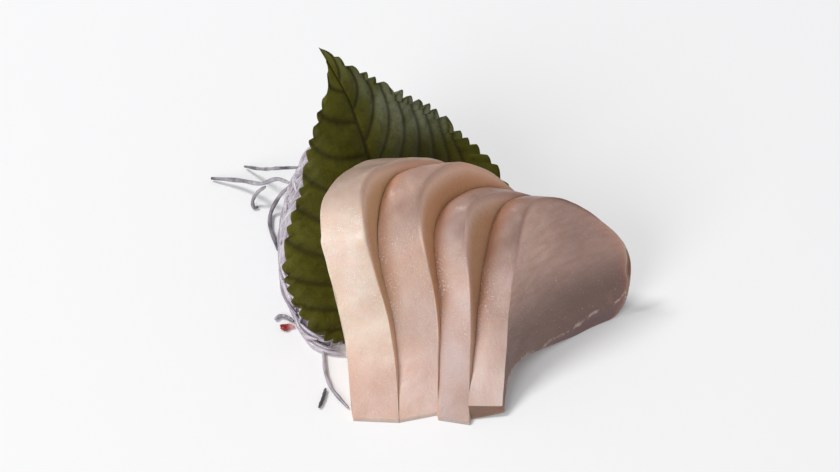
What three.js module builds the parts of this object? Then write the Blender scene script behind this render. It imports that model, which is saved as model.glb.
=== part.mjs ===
// Four thick slices of raw white fish leaning on a perilla leaf and a heap of shredded garnish.
// Millimetres, +Z up. The slices' thin ends face -Y, the leaf and the heap stand behind them.
import * as THREE from 'three';

// ---- driving dimensions (mm unless said) ----
const BEND_RADIUS = 48;          // plan radius the slices bend along, turning to +X
const LEAN = { x: -0.25, y: 0.30 };   // shift of a slice per mm of height
const SLICE_GAP = 0.3;           // clearance between neighbours
const CHAIN_STEPS = 26;          // stations along a slice section
const RIB_STEPS = 6;             // cells from the flesh side to the skin side
const THICK_STEPS = 2;           // cells through a slice

const LEAF_LEAN = 0.72;          // how far the leaf runs back per mm of height
const LEAF_FOOT = 16.4;           // distance of the leaf's foot line from the front
const LEAF_WRAP = 30;            // extra depth where the leaf passes behind the slices
const LEAF_WRAP_AT = -6;
const LEAF_WRAP_SOFT = 6;
const LEAF_THICK = 0.6;
const TOOTH_COUNT = { left: 26, right: 27 };
const TOOTH_DEPTH = { left: 1.0, right: 1.3 };

const HEAP = { x: -6.8, y: 50, halfX: 27.6, halfY: 33, height: 32, power: 2.4, rim: 1.0, slump: 0.42 };
const HEAP_GAP = 0.35;           // clearance between heap and leaf
const HEAP_SECTORS = 64;
const HEAP_RINGS = 12;

const THREAD_RADIUS = 0.5;

// ---- walls: the five cut planes, bent in plan and leaning ----
const WALLS = [
  { x: -17.0, y: 0.0, heading: 90 },
  { x: -6.6, y: -0.6, heading: 86 },
  { x: 2.0, y: 1.2, heading: 82 },
  { x: 9.3, y: 0.0, heading: 78 },
  { x: 16.8, y: 0.6, heading: 73 },
];

function wallPoint(wall, run, rise, side) {
  const start = THREE.MathUtils.degToRad(wall.heading);
  const here = start - run / BEND_RADIUS;
  const x = wall.x + (Math.sin(start) - Math.sin(here)) * BEND_RADIUS + LEAN.x * rise;
  const y = wall.y + (Math.cos(here) - Math.cos(start)) * BEND_RADIUS + LEAN.y * rise;
  const along = new THREE.Vector3(Math.cos(here), Math.sin(here), 0);
  const up = new THREE.Vector3(LEAN.x, LEAN.y, 1);
  const out = along.cross(up).normalize();
  const flat = Math.hypot(out.x, out.y);
  // the offset is taken level, so a point on the table stays on the table
  return new THREE.Vector3(x + (side * out.x) / (flat * flat), y + (side * out.y) / (flat * flat), rise);
}

function chain(points, count) {
  const curve = new THREE.CatmullRomCurve3(
    points.map(([run, rise]) => new THREE.Vector3(run, rise, 0)), false, 'centripetal');
  return curve.getSpacedPoints(count).map((p) => [p.x, Math.max(0, p.y)]);
}

// ---- slice sections: [distance along the bend, height], flesh side then skin side ----
const REAR = {
  first: [[47.5, 28.5], [50, 21.5], [50.5, 14.5], [48.5, 8]],
  second: [[46.5, 23.5], [48, 17.5], [48, 12], [46.5, 7]],
  third: [[46, 22], [48, 16], [48.2, 11], [46.5, 6.5]],
  fourth: [[46.3, 18.4], [47.3, 13], [45.8, 7.5]],
};
const FLAP_END = [[0, 0], [0.4, 1.3]];
const FLAT_SKIN = [[1.6, 0], [6, 0.9], [12, 1.4], [18, 0.9], [24, 0], [31, 0], [38, 0], [43.5, 1.6]];
const LIFTED_SKIN = [[4.8, 4.3], [9, 5.3], [13.5, 4.4], [19, 2.6], [25, 0.9], [30, 0], [35, 0],
  [39.5, 0], [43.2, 2.4]];

const SECTIONS = [
  {
    left: [...FLAP_END, [5, 4.8], [9, 9.4], [10.3, 15.8], [11.1, 25], [12, 33.4], [13.4, 36.8], [15.8, 38.8],
      [19, 39.6], [24, 39.5], [32, 38.4], [38.5, 36.4], [44, 33.2], ...REAR.first],
    right: [...FLAP_END, [4.2, 4.6], [7.8, 10], [9.7, 17.8], [9.5, 25.4], [9.4, 33.8], [10.2, 38.8],
      [12.3, 43], [14.8, 45.4], [18, 45.9], [23, 44.6], [29, 42.2], [35, 39.4], [40.8, 35.8], [45, 30],
      [48, 23], [49, 16], [47.5, 9]],
    skin: { left: FLAT_SKIN, right: FLAT_SKIN },
  },
  {
    left: [...FLAP_END, [4.3, 4.2], [8.3, 9.1], [10.8, 14.2], [11.1, 20], [11.4, 25.8], [12.8, 31.2],
      [14.6, 35], [17.3, 37.9], [20.8, 40.1], [24.6, 41.1], [28.5, 40.5], [33.5, 37.8], [39, 32.2],
      [44, 26.5], [47, 20], [48, 14], [46.8, 8]],
    right: [...FLAP_END, [3.4, 3.8], [7, 6.9], [10.4, 10.8], [12.5, 15.4], [13.7, 21], [14.2, 28.4],
      [14.7, 33.4], [16, 37], [18.4, 40.1], [22, 41.1], [27.4, 40.7], [32.4, 39.5], [36.4, 36.8],
      [40, 33.4], [43.4, 28.6], ...REAR.second],
    skin: { left: FLAT_SKIN, right: FLAT_SKIN },
  },
  {
    left: [[-1.2, 0], [-0.8, 1.4], [4, 4.4], [8.8, 9], [12.8, 14.2], [15.3, 22], [17.2, 28.2], [19.6, 31.8],
      [23.6, 33.6], [29.5, 33.6], [36.2, 31.8], [42.4, 27.6], ...REAR.third],
    right: [[-1.6, 0], [-1.2, 1.4], [2.4, 5], [7.6, 10.4], [11.8, 16.8], [14.6, 24.2], [16.5, 30.4], [19, 35],
      [21.8, 36.9], [25, 36.3], [29.4, 34.9], [34, 32.8], [40, 28.8], [44, 23.8], [46.3, 17.6],
      [46.8, 12], [45.4, 7]],
    skin: { left: FLAT_SKIN, right: FLAT_SKIN },
  },
  {
    left: [[-0.4, 0], [-0.2, 3.4], [6.6, 8.1], [9.8, 10.9], [12.2, 14], [15.8, 18.6], [20.4, 24.8], [25, 29.8],
      [29, 32.4], [33, 32.6], [38, 30], [43, 24.8], [46.8, 18.5], [47.8, 13], [46.3, 8]],
    right: [[0, 0.9], [0.2, 2.4], [6.2, 8.4], [8, 10.8], [11.3, 15.4], [14.7, 20.5], [18.4, 25.4],
      [22, 30.3], [25, 33.8], [28.2, 34.6], [32, 33.4], [37.5, 29.8], [42.3, 24.6], ...REAR.fourth],
    skin: { left: FLAT_SKIN, right: LIFTED_SKIN },
  },
];

function meshFrom(positions, faces) {
  const geometry = new THREE.BufferGeometry();
  geometry.setAttribute('position', new THREE.Float32BufferAttribute(positions.flatMap((p) => [p.x, p.y, p.z]), 3));
  geometry.setIndex(faces.flat());
  geometry.computeVertexNormals();
  return geometry;
}

// one slice: ribs across the section, repeated through the thickness
function sliceGeometry(section, leftWall, rightWall) {
  const layers = THICK_STEPS + 1;
  const stations = CHAIN_STEPS + 1;
  const half = SLICE_GAP / 2;
  const leftOuter = chain(section.left, CHAIN_STEPS);
  const rightOuter = chain(section.right, CHAIN_STEPS);
  const leftInner = chain([section.left[0], ...section.skin.left, section.left.at(-1)], CHAIN_STEPS);
  const rightInner = chain([section.right[0], ...section.skin.right, section.right.at(-1)], CHAIN_STEPS);
  const positions = [];
  const index = new Map();
  const key = (layer, station, rib) => {
    // the two chains meet at both ends, so those stations are single points
    const shared = station === 0 || station === stations - 1;
    return `${layer},${station},${shared ? 0 : rib}`;
  };
  const mix = (a, b, t) => [a[0] + (b[0] - a[0]) * t, a[1] + (b[1] - a[1]) * t];
  for (let layer = 0; layer < layers; layer += 1) {
    const through = layer / THICK_STEPS;
    for (let station = 0; station < stations; station += 1) {
      for (let rib = 0; rib <= RIB_STEPS; rib += 1) {
        const inside = layer > 0 && layer < THICK_STEPS && rib > 0 && rib < RIB_STEPS;
        const name = key(layer, station, rib);
        if (inside || index.has(name)) continue;
        const t = rib / RIB_STEPS;
        const [leftRun, leftRise] = mix(leftOuter[station], leftInner[station], t);
        const [rightRun, rightRise] = mix(rightOuter[station], rightInner[station], t);
        const a = wallPoint(leftWall, leftRun, leftRise, half);
        const b = wallPoint(rightWall, rightRun, rightRise, -half);
        index.set(name, positions.length);
        positions.push(a.lerp(b, through));
      }
    }
  }
  const at = (layer, station, rib) => index.get(key(layer, station, rib));
  const faces = [];
  const quad = (a, b, c, d) => {
    if (a !== b && b !== c && a !== c) faces.push([a, b, c]);
    if (a !== c && c !== d && a !== d) faces.push([a, c, d]);
  };
  for (let station = 0; station < stations - 1; station += 1) {
    for (let rib = 0; rib < RIB_STEPS; rib += 1) {
      quad(at(0, station, rib), at(0, station + 1, rib), at(0, station + 1, rib + 1), at(0, station, rib + 1));
      quad(at(THICK_STEPS, station, rib), at(THICK_STEPS, station, rib + 1),
        at(THICK_STEPS, station + 1, rib + 1), at(THICK_STEPS, station + 1, rib));
    }
    for (let layer = 0; layer < THICK_STEPS; layer += 1) {
      quad(at(layer, station, 0), at(layer + 1, station, 0),
        at(layer + 1, station + 1, 0), at(layer, station + 1, 0));
      quad(at(layer, station, RIB_STEPS), at(layer, station + 1, RIB_STEPS),
        at(layer + 1, station + 1, RIB_STEPS), at(layer + 1, station, RIB_STEPS));
    }
  }
  return meshFrom(positions, faces);
}

// ---- leaf sheet: a foot line that wraps behind the slices, leaning back on the heap ----
function footLine(x) {
  return LEAF_FOOT + LEAF_WRAP / (1 + Math.exp(-(x - LEAF_WRAP_AT) / LEAF_WRAP_SOFT));
}

function footSlope(x) {
  const s = 1 / (1 + Math.exp(-(x - LEAF_WRAP_AT) / LEAF_WRAP_SOFT));
  return (LEAF_WRAP * s * (1 - s)) / LEAF_WRAP_SOFT;
}

function leafWave(x, rise) {
  return 0.45 * Math.sin(x * 0.33 + rise * 0.16) + 0.3 * Math.sin(rise * 0.42 - x * 0.12);
}

// back is the distance behind the front face, square to the sheet
function leafPoint(x, along, back) {
  const rise = along / Math.hypot(1, LEAF_LEAN);
  const nx = footSlope(x);
  const size = Math.hypot(nx, 1, LEAF_LEAN);
  const y = footLine(x) + LEAF_LEAN * rise + leafWave(x, rise);
  return new THREE.Vector3(x - (back * nx) / size, y + back / size, rise - (back * LEAF_LEAN) / size);
}

// blade outline in the sheet, [across, along], from the base to the tip
const BLADE = {
  rib: [[-6, 4], [-8, 14], [-10.8, 28], [-13.9, 43.4], [-16.4, 51.8], [-19.4, 60.4], [-24.7, 71]],
  left: [[-6, 4], [-13, 2.4], [-20, 2.8], [-27, 8], [-31.2, 15], [-32.8, 24], [-31.4, 31.5], [-29, 38.5],
    [-27.6, 46], [-25.4, 54], [-22.8, 61.6], [-22.6, 63.4], [-23.0, 67.2], [-24.7, 71]],
  right: [[-6, 4], [6, 2.5], [14.6, 6], [18.8, 13.4], [17.2, 21.4], [9.2, 30.6], [1.8, 40], [-5.2, 49],
    [-12.8, 58.8], [-16.6, 63.6], [-18.8, 65.8], [-21.2, 68.4], [-24.7, 71]],
};
const BLADE_STEPS = 108;
const BLADE_CELLS = 3;

function spaced(points, count) {
  const curve = new THREE.CatmullRomCurve3(points.map(([a, b]) => new THREE.Vector3(a, b, 0)), false, 'centripetal');
  return curve.getSpacedPoints(count);
}

// saw teeth leaning to the tip, fading at both ends of the margin
function toothedMargin(points, sign, count, depth) {
  const smooth = spaced(points, BLADE_STEPS);
  return smooth.map((p, i) => {
    if (i === 0 || i === BLADE_STEPS) return p;
    const t = i / BLADE_STEPS;
    const phase = (t * count) % 1;
    const fade = Math.min(1, t * 5, (1 - t) * 9);
    const lift = depth * fade * (phase < 0.72 ? phase / 0.72 : (1 - phase) / 0.28) - depth * 0.6 * fade;
    const dir = smooth[i + 1].clone().sub(smooth[i - 1]).normalize();
    const out = new THREE.Vector3(-dir.y, dir.x, 0).multiplyScalar(sign);
    return new THREE.Vector3(p.x + out.x * lift, Math.max(1.6, p.y + out.y * lift), 0);
  });
}

function leafGeometry() {
  const rib = spaced(BLADE.rib, BLADE_STEPS);
  const left = toothedMargin(BLADE.left, 1, TOOTH_COUNT.left, TOOTH_DEPTH.left);
  const right = toothedMargin(BLADE.right, -1, TOOTH_COUNT.right, TOOTH_DEPTH.right);
  const columns = BLADE_CELLS * 2;
  const positions = [];
  const grid = [];
  for (const back of [0, LEAF_THICK]) {
    const rows = [];
    for (let i = 0; i <= BLADE_STEPS; i += 1) {
      const row = [];
      const end = i === 0 || i === BLADE_STEPS;
      for (let c = 0; c <= columns; c += 1) {
        if (end && c > 0) {
          row.push(row[0]);
          continue;
        }
        const t = (c - BLADE_CELLS) / BLADE_CELLS;
        const edge = t < 0 ? left[i] : right[i];
        const flat = rib[i].clone().lerp(edge, Math.abs(t));
        row.push(positions.length);
        positions.push(leafPoint(flat.x, flat.y, back));
      }
      rows.push(row);
    }
    grid.push(rows);
  }
  const faces = [];
  const quad = (a, b, c, d) => {
    if (a !== b && b !== c && a !== c) faces.push([a, b, c]);
    if (a !== c && c !== d && a !== d) faces.push([a, c, d]);
  };
  const [front, rear] = grid;
  for (let i = 0; i < BLADE_STEPS; i += 1) {
    for (let c = 0; c < columns; c += 1) {
      quad(front[i][c], front[i][c + 1], front[i + 1][c + 1], front[i + 1][c]);
      quad(rear[i][c], rear[i + 1][c], rear[i + 1][c + 1], rear[i][c + 1]);
    }
    quad(front[i][0], front[i + 1][0], rear[i + 1][0], rear[i][0]);
    quad(front[i][columns], rear[i][columns], rear[i + 1][columns], front[i + 1][columns]);
  }
  return meshFrom(positions, faces);
}

// ---- heap of shredded garnish: an uneven dome, cut back behind the leaf ----
function domeHeight(x, y) {
  const a = Math.abs((x - HEAP.x) / HEAP.halfX) ** HEAP.power;
  const b = Math.abs((y - HEAP.y) / HEAP.halfY) ** HEAP.power;
  const inside = 1 - a - b;
  if (inside <= 0) return -5 * (a + b - 1);
  const lumps = 1.1 * Math.sin(x * 0.42 + 1.3) * Math.sin(y * 0.36 + 0.4) + 0.6 * Math.sin(x * 0.9 - y * 0.7);
  // the heap slumps down to its +X side and a little to the back
  const away = Math.max(0, (x - HEAP.x + 8) / HEAP.halfX) + 0.35 * Math.max(0, (y - HEAP.y) / HEAP.halfY);
  return (HEAP.height * inside ** (1 / HEAP.power) + lumps * Math.min(1, inside * 4)) * (1 - HEAP.slump * away);
}

function heapHeight(x, y) {
  const behind = (LEAF_THICK + HEAP_GAP) * Math.hypot(footSlope(x), 1, LEAF_LEAN) + 0.75;
  const underLeaf = (y - footLine(x) - behind) / LEAF_LEAN;
  const dome = domeHeight(x, y);
  // a rounded minimum, so the crest along the leaf is soft
  return Math.min(dome, underLeaf) - 1.1 * Math.exp(-Math.abs(dome - underLeaf) / 2.2);
}

function heapReach(angle) {
  let low = 0;
  let high = 50;
  for (let i = 0; i < 40; i += 1) {
    const mid = (low + high) / 2;
    const tall = heapHeight(HEAP.x + Math.cos(angle) * mid, HEAP.y + Math.sin(angle) * mid);
    if (tall > HEAP.rim) low = mid;
    else high = mid;
  }
  return low;
}

function heapGeometry() {
  const positions = [];
  const faces = [];
  const tops = [];
  const bottoms = [];
  positions.push(new THREE.Vector3(HEAP.x, HEAP.y, heapHeight(HEAP.x, HEAP.y)));
  positions.push(new THREE.Vector3(HEAP.x, HEAP.y, 0));
  for (let ring = 1; ring <= HEAP_RINGS; ring += 1) {
    const share = 1 - (1 - ring / HEAP_RINGS) ** 1.5;
    const top = [];
    const bottom = [];
    for (let s = 0; s < HEAP_SECTORS; s += 1) {
      const angle = (s / HEAP_SECTORS) * Math.PI * 2;
      const reach = heapReach(angle) * share;
      const x = HEAP.x + Math.cos(angle) * reach;
      const y = HEAP.y + Math.sin(angle) * reach;
      top.push(positions.length);
      positions.push(new THREE.Vector3(x, y, Math.max(HEAP.rim, heapHeight(x, y))));
      if (ring === HEAP_RINGS || ring === HEAP_RINGS / 2) {
        bottom.push(positions.length);
        positions.push(new THREE.Vector3(x, y, 0));
      }
    }
    tops.push(top);
    if (bottom.length) bottoms.push(bottom);
  }
  for (let s = 0; s < HEAP_SECTORS; s += 1) {
    const n = (s + 1) % HEAP_SECTORS;
    faces.push([0, tops[0][s], tops[0][n]]);
    faces.push([1, bottoms[0][n], bottoms[0][s]]);
    for (let ring = 0; ring < HEAP_RINGS - 1; ring += 1) {
      faces.push([tops[ring][s], tops[ring + 1][s], tops[ring + 1][n]]);
      faces.push([tops[ring][s], tops[ring + 1][n], tops[ring][n]]);
    }
    faces.push([bottoms[0][s], bottoms[0][n], bottoms[1][n]]);
    faces.push([bottoms[0][s], bottoms[1][n], bottoms[1][s]]);
    const rim = tops[HEAP_RINGS - 1];
    faces.push([rim[s], bottoms[1][s], bottoms[1][n]]);
    faces.push([rim[s], bottoms[1][n], rim[n]]);
  }
  return meshFrom(positions, faces);
}

// ---- stray threads: round shreds lying loose beside the heap ----
const THREADS = [
  [[-30.6, 64.4, 15.2], [-35.0, 66.9, 12.6], [-39.8, 73.7, 5.8], [-44.3, 79.8, 0.8]],
  [[-32.6, 60.8, 13.7], [-36.0, 65.5, 10.4], [-39.5, 67.3, 7.2], [-45.1, 72.7, 3.0], [-52.1, 75.7, 0.8]],
  [[-38.7, 67.6, 5.9], [-40.8, 67.6, 3.8], [-41.9, 67.0, 1.4], [-41.5, 65.8, 0.6], [-40.6, 66.1, 0.6]],
  [[-33.2, 65.3, 8.0], [-35.5, 65.6, 4.4], [-37.4, 63.8, 1.2], [-37.5, 59.7, 0.6], [-36.4, 55.4, 0.6], [-35.4, 51.8, 0.6]],
  [[-24.2, 20.5, 0.6], [-23.9, 18, 0.6], [-23.5, 13.6, 0.6], [-22.1, 8.6, 0.6], [-19.9, 5, 0.6], [-18.2, 2.6, 0.6]],
  [[-23.3, 8.2, 0.6], [-23.8, 5.4, 0.6], [-24.6, 2.6, 0.6]],
  [[-35.3, 29.4, 0.6], [-34.3, 30.5, 0.6], [-32.9, 30.3, 0.6], [-31.1, 28.9, 0.6]],
];

function threadGeometry(points, radius) {
  const curve = new THREE.CatmullRomCurve3(points.map((p) => new THREE.Vector3(...p)), false, 'centripetal');
  const round = new THREE.Shape();
  for (let i = 0; i < 8; i += 1) {
    const angle = (i / 8) * Math.PI * 2;
    const x = Math.cos(angle) * radius;
    const y = Math.sin(angle) * radius;
    if (i === 0) round.moveTo(x, y);
    else round.lineTo(x, y);
  }
  round.closePath();
  const steps = Math.max(8, Math.round(curve.getLength() / 1.2));
  return new THREE.ExtrudeGeometry(round, { steps, extrudePath: curve, bevelEnabled: false });
}

function node(name, geometry, color, roughness) {
  const mesh = new THREE.Mesh(geometry, new THREE.MeshStandardMaterial({ color, roughness, metalness: 0 }));
  mesh.name = name;
  return mesh;
}

function arrangement() {
  const group = new THREE.Group();
  group.name = 'sashimi_plate';
  SECTIONS.forEach((section, i) => {
    group.add(node(`slice_${i + 1}`, sliceGeometry(section, WALLS[i], WALLS[i + 1]), 0xe6cfc0, 0.35));
  });
  group.add(node('leaf', leafGeometry(), 0x43512a, 0.5));
  group.add(node('garnish_heap', heapGeometry(), 0xd6cfd6, 0.4));
  THREADS.forEach((points, i) => {
    group.add(node(`thread_${i + 1}`, threadGeometry(points, THREAD_RADIUS), 0x8a8090, 0.5));
  });
  const box = new THREE.Box3().setFromObject(group);
  const shift = new THREE.Vector3(-(box.min.x + box.max.x) / 2, -(box.min.y + box.max.y) / 2, -box.min.z);
  group.children.forEach((mesh) => mesh.geometry.translate(shift.x, shift.y, shift.z));
  return group;
}

export default arrangement();
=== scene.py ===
# Four thick slices of raw white fish against a perilla leaf and a heap of shredded garnish
import bpy
import math
import numpy as np
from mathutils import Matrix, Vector


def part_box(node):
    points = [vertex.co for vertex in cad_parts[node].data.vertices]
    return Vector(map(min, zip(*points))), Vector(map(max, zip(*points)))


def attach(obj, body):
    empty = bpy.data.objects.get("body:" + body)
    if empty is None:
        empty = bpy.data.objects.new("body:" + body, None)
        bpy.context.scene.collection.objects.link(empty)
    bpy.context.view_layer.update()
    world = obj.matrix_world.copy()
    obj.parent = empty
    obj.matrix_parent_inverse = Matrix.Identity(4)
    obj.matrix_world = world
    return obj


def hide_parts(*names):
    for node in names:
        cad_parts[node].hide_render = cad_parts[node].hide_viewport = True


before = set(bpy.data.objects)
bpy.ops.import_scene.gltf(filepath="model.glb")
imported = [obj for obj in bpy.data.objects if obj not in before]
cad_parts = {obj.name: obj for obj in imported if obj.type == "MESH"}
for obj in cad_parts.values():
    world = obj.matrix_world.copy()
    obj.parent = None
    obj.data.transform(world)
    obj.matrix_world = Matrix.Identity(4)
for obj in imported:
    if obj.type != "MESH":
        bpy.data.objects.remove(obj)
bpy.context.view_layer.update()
mm = 0.001

# how the slices lie, in mm: five cut faces, bent in plan and leaning
fan = {
    "bendRadius": 48.0,
    "leanX": -0.25,
    "leanY": 0.30,
    "gap": 0.02,
    "cuts": [(-17.0, 0.0, 90), (-6.6, -0.6, 86), (2.0, 1.2, 82), (9.3, 0.0, 78), (16.8, 0.6, 73)],
}


def cutPoints(cut, run, rise, side):
    x0, y0, heading = cut
    start = math.radians(heading)
    here = start - run / fan["bendRadius"]
    x = x0 + (math.sin(start) - np.sin(here)) * fan["bendRadius"] + fan["leanX"] * rise
    y = y0 + (np.cos(here) - math.cos(start)) * fan["bendRadius"] + fan["leanY"] * rise
    outX, outY = np.sin(here), -np.cos(here)
    outZ = np.cos(here) * fan["leanY"] - np.sin(here) * fan["leanX"]
    size = np.sqrt(1 + outZ ** 2)
    return np.stack([x + side * outX * size, y + side * outY * size, rise + 0 * x], -1)


def smoothPath(points, count):
    # centripetal Catmull-Rom through the points, evenly spaced by length
    p = np.array(points, float)
    p = np.vstack([2 * p[0] - p[1], p, 2 * p[-1] - p[-2]])
    out = []
    for i in range(1, len(p) - 2):
        t = [0.0]
        for a, b in zip(p[i - 1:i + 2], p[i:i + 3]):
            t.append(t[-1] + max(1e-6, np.linalg.norm(b - a)) ** 0.5)
        for s in np.linspace(t[1], t[2], 24, endpoint=i == len(p) - 3):
            a1 = (t[1] - s) / (t[1] - t[0]) * p[i - 1] + (s - t[0]) / (t[1] - t[0]) * p[i]
            a2 = (t[2] - s) / (t[2] - t[1]) * p[i] + (s - t[1]) / (t[2] - t[1]) * p[i + 1]
            a3 = (t[3] - s) / (t[3] - t[2]) * p[i + 1] + (s - t[2]) / (t[3] - t[2]) * p[i + 2]
            b1 = (t[2] - s) / (t[2] - t[0]) * a1 + (s - t[0]) / (t[2] - t[0]) * a2
            b2 = (t[3] - s) / (t[3] - t[1]) * a2 + (s - t[1]) / (t[3] - t[1]) * a3
            out.append((t[2] - s) / (t[2] - t[1]) * b1 + (s - t[1]) / (t[2] - t[1]) * b2)
    out = np.array(out)
    length = np.concatenate([[0], np.cumsum(np.linalg.norm(np.diff(out, axis=0), axis=1))])
    share = np.asarray(count) if np.ndim(count) else np.linspace(0, 1, count)
    return np.stack([np.interp(share * length[-1], length, out[:, k]) for k in range(out.shape[1])], -1)


def newObject(name, points, faces, material, shift=None):
    mesh = bpy.data.meshes.new(name)
    where = np.asarray(points, float) * mm
    if shift is not None:
        where = where + shift
    mesh.from_pydata(where.tolist(), [], [list(f) for f in faces])
    mesh.validate()
    mesh.update()
    for poly in mesh.polygons:
        poly.use_smooth = True
    piece = bpy.data.objects.new(name, mesh)
    bpy.context.scene.collection.objects.link(piece)
    if material:
        mesh.materials.append(material)
    return piece


def addValues(piece, name, values):
    layer = piece.data.attributes.new(name, "FLOAT", "POINT")
    layer.data.foreach_set("value", np.asarray(values, np.float32))


def addUv(mesh, name, flat):
    # a UV map from one place per vertex
    layer = mesh.uv_layers.new(name=name)
    corner = np.empty(len(mesh.loops), np.int32)
    mesh.loops.foreach_get("vertex_index", corner)
    layer.data.foreach_set("uv", flat[corner].ravel())


def freeze(piece):
    # the evaluated mesh takes the modifiers' place
    graph = bpy.context.evaluated_depsgraph_get()
    made = bpy.data.meshes.new_from_object(piece.evaluated_get(graph))
    old = piece.data
    piece.modifiers.clear()
    piece.data = made
    bpy.data.meshes.remove(old)
    return piece


def waves(p, seed, size):
    # smooth sum of sines used for gentle unevenness, about -1 to 1
    rng = np.random.default_rng(seed)
    total = np.zeros(len(p))
    for _ in range(9):
        way = rng.normal(size=3)
        way /= np.linalg.norm(way)
        total += np.sin(p @ way * (2 * math.pi / size) * rng.uniform(0.6, 1.7) + rng.uniform(0, 6.28))
    return total / 4.5


# small tools for the materials
def newMaterial(name):
    material = bpy.data.materials.new(name)
    material.use_nodes = True
    tree = material.node_tree
    tree.nodes.clear()
    out = tree.nodes.new("ShaderNodeOutputMaterial")
    shader = tree.nodes.new("ShaderNodeBsdfPrincipled")
    tree.links.new(shader.outputs[0], out.inputs[0])
    return material, tree, shader


def link(tree, a, b):
    tree.links.new(a, b)


def feed(tree, socket, value):
    # a socket takes another socket, a number or a colour
    if isinstance(value, bpy.types.NodeSocket):
        link(tree, value, socket)
    elif isinstance(value, (int, float)):
        socket.default_value = value
    else:
        socket.default_value = (*value, 1)


def setSockets(shader, values):
    for name, number in values.items():
        shader.inputs[name].default_value = number


def objectPlace(tree):
    return tree.nodes.new("ShaderNodeTexCoord").outputs["Object"]


def uvPlace(tree, name):
    made = tree.nodes.new("ShaderNodeUVMap")
    made.uv_map = name
    return made.outputs[0]


def value(tree, name):
    made = tree.nodes.new("ShaderNodeAttribute")
    made.attribute_name = name
    return made.outputs["Fac"]


def blendColours(tree, amount, a, b, mode="MIX"):
    made = tree.nodes.new("ShaderNodeMix")
    made.data_type = "RGBA"
    made.blend_type = mode
    for socket, part in ((made.inputs[0], amount), (made.inputs[6], a), (made.inputs[7], b)):
        feed(tree, socket, part)
    return made.outputs[2]


def maths(tree, operation, a, b, clamp=False):
    made = tree.nodes.new("ShaderNodeMath")
    made.operation = operation
    made.use_clamp = clamp
    feed(tree, made.inputs[0], a)
    feed(tree, made.inputs[1], b)
    return made.outputs[0]


def times(tree, a, b, clamp=False):
    return maths(tree, "MULTIPLY", a, b, clamp)


def overlay(tree, under, over, amount, strength=1.0):
    # one colour laid over another, as strong as amount times strength
    if strength != 1.0:
        amount = times(tree, amount, strength)
    return blendColours(tree, amount, under, over)


def tinted(tree, colour, factor):
    return blendColours(tree, 1.0, colour, factor, "MULTIPLY")


def spread(tree, value, low, high, toLow=0.0, toHigh=1.0):
    made = tree.nodes.new("ShaderNodeMapRange")
    made.interpolation_type = "SMOOTHSTEP"
    link(tree, value, made.inputs[0])
    for socket, number in zip(made.inputs[1:5], (low, high, toLow, toHigh)):
        socket.default_value = number
    return made.outputs[0]


def noise(tree, vector, scale, detail=3.0, rough=0.5, distortion=0.0):
    made = tree.nodes.new("ShaderNodeTexNoise")
    setSockets(made, {"Scale": scale, "Detail": detail, "Roughness": rough, "Distortion": distortion})
    link(tree, vector, made.inputs["Vector"])
    return made.outputs[0]


def mapped(tree, vector, scale=(1, 1, 1), turn=(0, 0, 0)):
    made = tree.nodes.new("ShaderNodeMapping")
    setSockets(made, {"Rotation": [math.radians(a) for a in turn], "Scale": scale})
    link(tree, vector, made.inputs["Vector"])
    return made.outputs[0]


def bump(tree, shader, layers):
    # each layer is a height, its depth in metres and its strength
    normal = None
    for height, distance, strength in layers:
        made = tree.nodes.new("ShaderNodeBump")
        setSockets(made, {"Distance": distance, "Strength": strength})
        link(tree, height, made.inputs["Height"])
        if normal:
            link(tree, normal, made.inputs["Normal"])
        normal = made.outputs[0]
    link(tree, normal, shader.inputs["Normal"])


fish = {
    "cream": (0.86, 0.67, 0.54),
    "pale": (0.92, 0.78, 0.68),
    # painted shade in the valley beside the slice before, high up and low down
    "valleyShade": (0.50, 0.27, 0.145),
    "valleyShadeLow": (0.86, 0.56, 0.40),
    "blush": (0.74, 0.46, 0.34),
    # mottled tone of the tops, also used as painted shade where they turn away from the light
    "top": (0.37, 0.26, 0.205),
    "cutFace": (0.565, 0.35, 0.28),
    "cutPale": (0.67, 0.45, 0.38),
    # painted shade colour for the last slice's face
    "cutShade": (0.175, 0.105, 0.088),
    "innerFace": (0.84, 0.60, 0.47),
    # painted warm shade on the inner cut faces, high up and low down
    "innerShade": (0.66, 0.37, 0.20),
    "innerShadeLow": (0.88, 0.56, 0.38),
    "openFace": (0.70, 0.50, 0.41),
    # painted shade colour for the flap's front end face
    "endShade": (0.25, 0.145, 0.10),
    "stain": (0.40, 0.22, 0.15),
    "skinMauve": (0.20, 0.135, 0.14),
    "membrane": (0.66, 0.52, 0.48),
    # pale colour of the painted glints
    "speck": (1.0, 0.93, 0.88),
    # noise sizes, in waves per metre
    "clouds": 95, "warmth": 150, "blotches": 130, "specks": 2900, "speckPatches": 260,
    "gloss": 260, "pits": 620, "beads": 1500,
    # how strongly each tone is laid on
    "blushAmount": 0.30, "glintAmount": 0.75, "mauveAmount": 0.55, "membraneAmount": 0.6,
    "roughness": 0.40,
    "shader": {"Subsurface Weight": 0.30, "Subsurface Radius": (1.0, 0.42, 0.24), "Subsurface Scale": 0.0042,
               "IOR": 1.40, "Coat Weight": 0.06, "Coat Roughness": 0.24},
}


def wetGlintSpecks(tree, place, facts):
    # strewn in patches over the middle of each strip: painted glints in the colour, and wet, glossier specks in
    # roughness and bump
    grain = noise(tree, mapped(tree, place, (1.0, 0.8, 0.8)), fish["specks"], 2, 0.6)
    patch = spread(tree, noise(tree, place, fish["speckPatches"], 3, 0.6), 0.32, 0.56)
    middle = times(tree, spread(tree, facts["upper"], -0.35, 0.7), spread(tree, facts["top"], 0.9, 0.1))
    return times(tree, spread(tree, grain, 0.56, 0.62), times(tree, patch, middle), True)


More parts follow.
